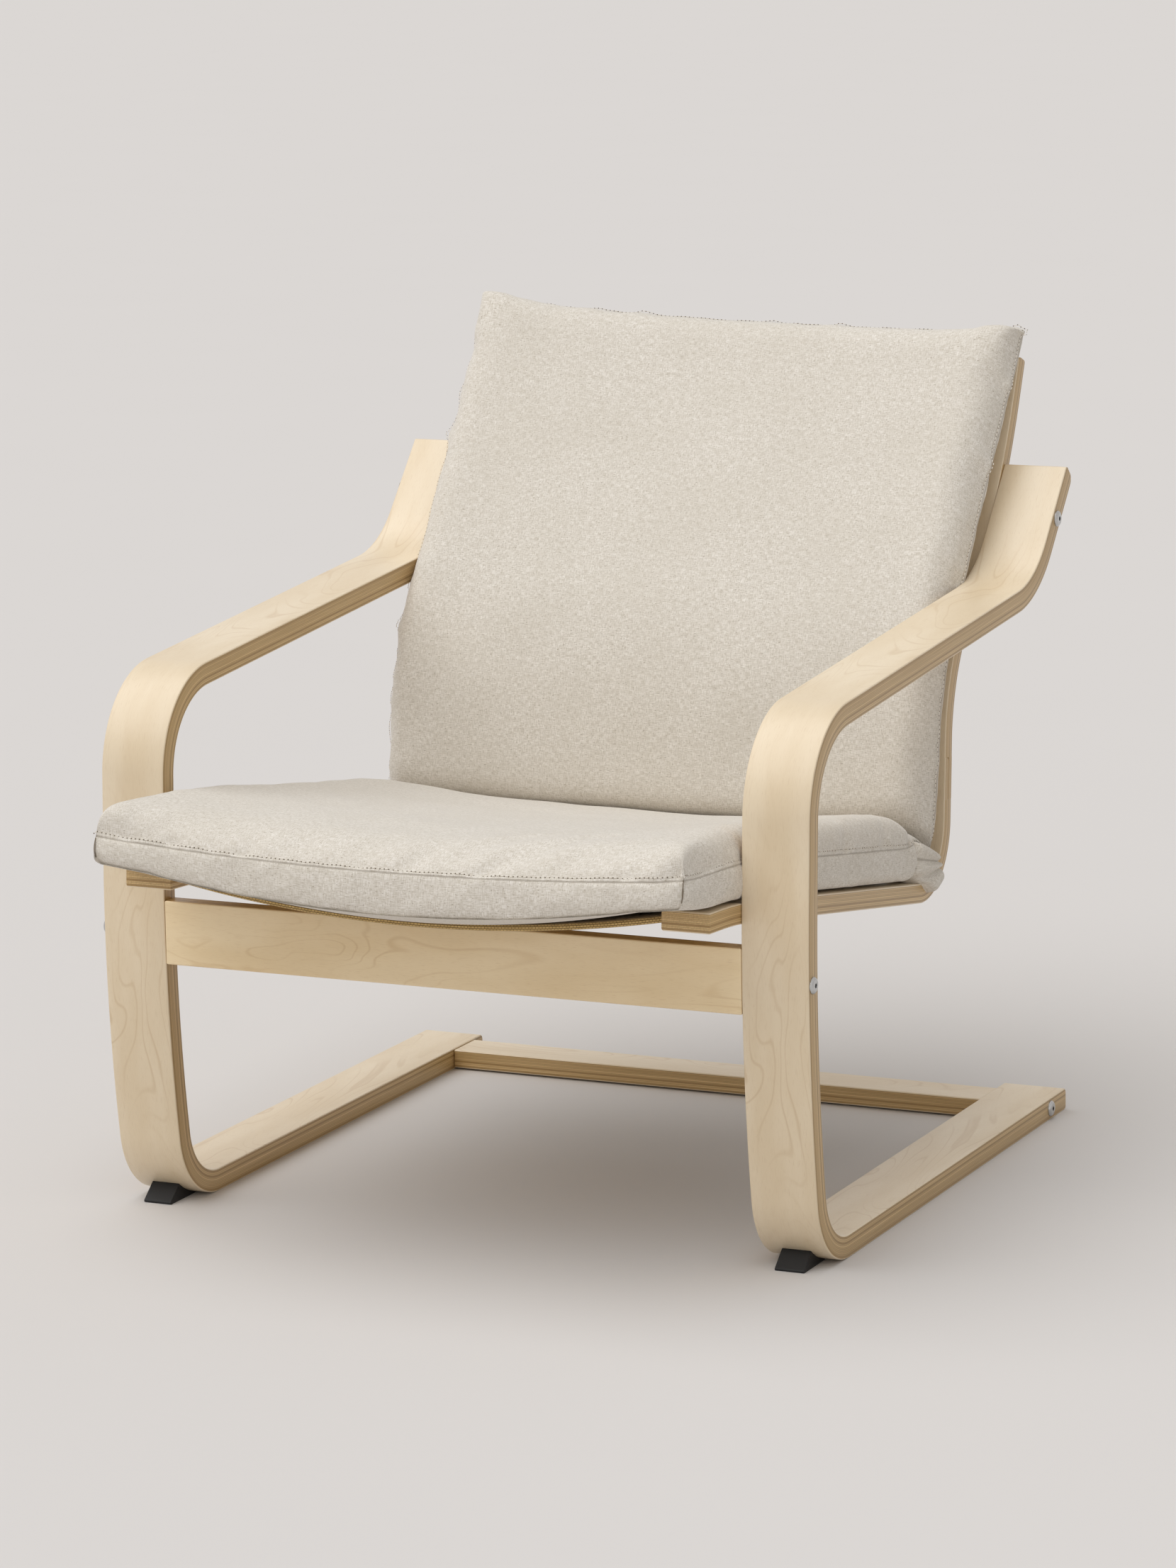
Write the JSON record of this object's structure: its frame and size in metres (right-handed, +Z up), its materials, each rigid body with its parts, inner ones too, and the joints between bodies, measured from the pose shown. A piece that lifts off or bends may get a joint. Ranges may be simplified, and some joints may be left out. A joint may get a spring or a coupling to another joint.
{
  "type": "cantilever lounge chair",
  "caption": "Low lounge chair: bent-laminate cantilever side frames with armrests, a bent seat and back frame hung between them, and a folded linen cushion.",
  "frame": {"origin": "on the floor, under the centre of the chair's bounding box", "axes": "+X to the sitter's left, right in the picture; +Y to the back, the chair faces -Y; +Z up"},
  "size_m": [0.686, 0.8313, 0.758],
  "materials": {
    "strip_veneer": "bent birch veneers under clear satin lacquer, ply lines on the edges",
    "rail_veneer": "bent birch veneers under clear satin lacquer, ply lines on the edges",
    "solid_birch": "solid birch under clear satin lacquer",
    "dowel_beech": "bare fluted beech",
    "cover_cloth": "natural linen weave with darker flecks",
    "cushion_foam": "open-cell foam",
    "sling_cloth": "tan basket weave",
    "spline_plastic": "matt",
    "foot_plastic": "matt black",
    "zinc_steel": "bright zinc plating"
  },
  "bodies": {
    "root": {"side_frame_left": "strip_veneer", "side_frame_right": "strip_veneer", "seat_rail_left": "rail_veneer", "seat_rail_right": "rail_veneer", "back_upright_left": "rail_veneer", "back_upright_right": "rail_veneer", "back_slat_1": "rail_veneer", "back_slat_2": "rail_veneer", "back_slat_3": "rail_veneer", "back_slat_4": "rail_veneer", "front_cross_rail": "solid_birch", "rear_floor_rail": "solid_birch", "cross_rail_dowels": "dowel_beech", "floor_rail_dowels": "dowel_beech", "seat_cushion_cover": "cover_cloth", "back_cushion_cover": "cover_cloth", "seat_cushion_foam": "cushion_foam", "back_cushion_foam": "cushion_foam", "seat_sling": "sling_cloth", "sling_spline_left": "spline_plastic", "sling_spline_right": "spline_plastic", "front_foot_left": "foot_plastic", "front_foot_right": "foot_plastic", "leg_bolts": "zinc_steel", "runner_bolts": "zinc_steel", "arm_bolts": "zinc_steel", "leg_barrel_nuts": "zinc_steel", "runner_barrel_nuts": "zinc_steel", "arm_barrel_nuts": "zinc_steel", "seat_pins": "zinc_steel", "lap_screws": "zinc_steel", "foot_screws": "zinc_steel"}
  },
  "joints": []
}
